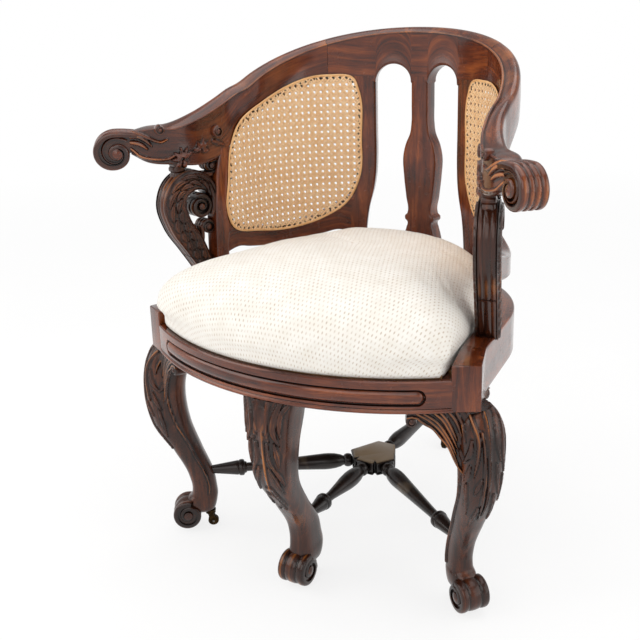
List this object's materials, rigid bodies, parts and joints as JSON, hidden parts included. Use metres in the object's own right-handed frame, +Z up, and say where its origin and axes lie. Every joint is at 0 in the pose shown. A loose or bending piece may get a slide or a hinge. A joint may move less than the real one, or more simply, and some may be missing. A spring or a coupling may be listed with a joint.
{
  "type": "armchair",
  "caption": "Carved mahogany barrel-back armchair with cane side panels, vase splat, scrolled arms, crossed stretchers and a drop-in upholstered seat",
  "frame": {"origin": "on the floor, under the middle of the chair's box", "axes": "+Z up; +X to the right of a viewer who faces the chair; the chair faces -Y, so +Y runs to its back"},
  "size_m": [0.7514, 0.6889, 0.8267],
  "materials": {
    "mahogany": "polished dark red-brown",
    "beech": "plain",
    "cane": "woven rattan",
    "cream_fabric": "woven, flecked",
    "stuffing": "loose",
    "jute": "woven",
    "dust_cloth": "plain",
    "brass": "aged",
    "steel": "plain"
  },
  "bodies": {
    "frame": {"arm_left": "mahogany", "arm_post_left": "mahogany", "arm_post_right": "mahogany", "arm_right": "mahogany", "block_screws": "steel", "cane_panel_left": "cane", "cane_panel_right": "cane", "caster_plate_back": "brass", "caster_plate_front": "brass", "caster_plate_left": "brass", "caster_plate_right": "brass", "caster_screws": "brass", "crest_center": "mahogany", "crest_dowels": "beech", "front_rail": "mahogany", "glue_block_back": "beech", "glue_block_left": "beech", "glue_block_right": "beech", "inner_stile_left": "mahogany", "inner_stile_right": "mahogany", "leg_back": "mahogany", "leg_dowels": "beech", "leg_front": "mahogany", "leg_left": "mahogany", "leg_right": "mahogany", "lower_rail_left": "mahogany", "lower_rail_right": "mahogany", "outer_stile_left": "mahogany", "outer_stile_right": "mahogany", "side_rail_left": "mahogany", "side_rail_right": "mahogany", "splat": "mahogany", "stretcher_back": "mahogany", "stretcher_front": "mahogany", "stretcher_hub": "mahogany", "stretcher_left": "mahogany", "stretcher_right": "mahogany"},
    "drop_in_seat": {"seat_cover": "cream_fabric", "seat_dust_cover": "dust_cloth", "seat_frame": "beech", "seat_stuffing": "stuffing", "seat_webbing": "jute"},
    "caster_left": {"caster_axle_left": "brass", "caster_fork_left": "brass"},
    "wheel_left": {"caster_wheel_left": "brass"},
    "caster_right": {"caster_axle_right": "brass", "caster_fork_right": "brass"},
    "wheel_right": {"caster_wheel_right": "brass"},
    "caster_front": {"caster_axle_front": "brass", "caster_fork_front": "brass"},
    "wheel_front": {"caster_wheel_front": "brass"},
    "caster_back": {"caster_axle_back": "brass", "caster_fork_back": "brass"},
    "wheel_back": {"caster_wheel_back": "brass"}
  },
  "joints": [
    {"name": "seat_lift", "type": "slide", "parent": "frame", "child": "drop_in_seat", "axis": [0, 0, 1], "range_m": [0, 0.45]},
    {"name": "swivel_left", "type": "hinge", "parent": "frame", "child": "caster_left", "pos_m": [-0.23442, -0.1818, 0.026], "axis": [0, 0, 1], "continuous": true},
    {"name": "roll_left", "type": "hinge", "parent": "caster_left", "child": "wheel_left", "pos_m": [-0.2312, -0.17943, 0.009], "axis": [0.5922, -0.8058, 0], "continuous": true},
    {"name": "swivel_right", "type": "hinge", "parent": "frame", "child": "caster_right", "pos_m": [0.23442, -0.1818, 0.026], "axis": [0, 0, 1], "continuous": true},
    {"name": "roll_right", "type": "hinge", "parent": "caster_right", "child": "wheel_right", "pos_m": [0.2312, -0.17943, 0.009], "axis": [0.5922, 0.8058, 0], "continuous": true},
    {"name": "swivel_front", "type": "hinge", "parent": "frame", "child": "caster_front", "pos_m": [0, -0.2265, 0.026], "axis": [0, 0, 1], "continuous": true},
    {"name": "roll_front", "type": "hinge", "parent": "caster_front", "child": "wheel_front", "pos_m": [0, -0.2225, 0.009], "axis": [1, 0, 0], "continuous": true},
    {"name": "swivel_back", "type": "hinge", "parent": "frame", "child": "caster_back", "pos_m": [0, 0.2815, 0.026], "axis": [0, 0, 1], "continuous": true},
    {"name": "roll_back", "type": "hinge", "parent": "caster_back", "child": "wheel_back", "pos_m": [0, 0.2775, 0.009], "axis": [-1, 0, 0], "continuous": true}
  ]
}
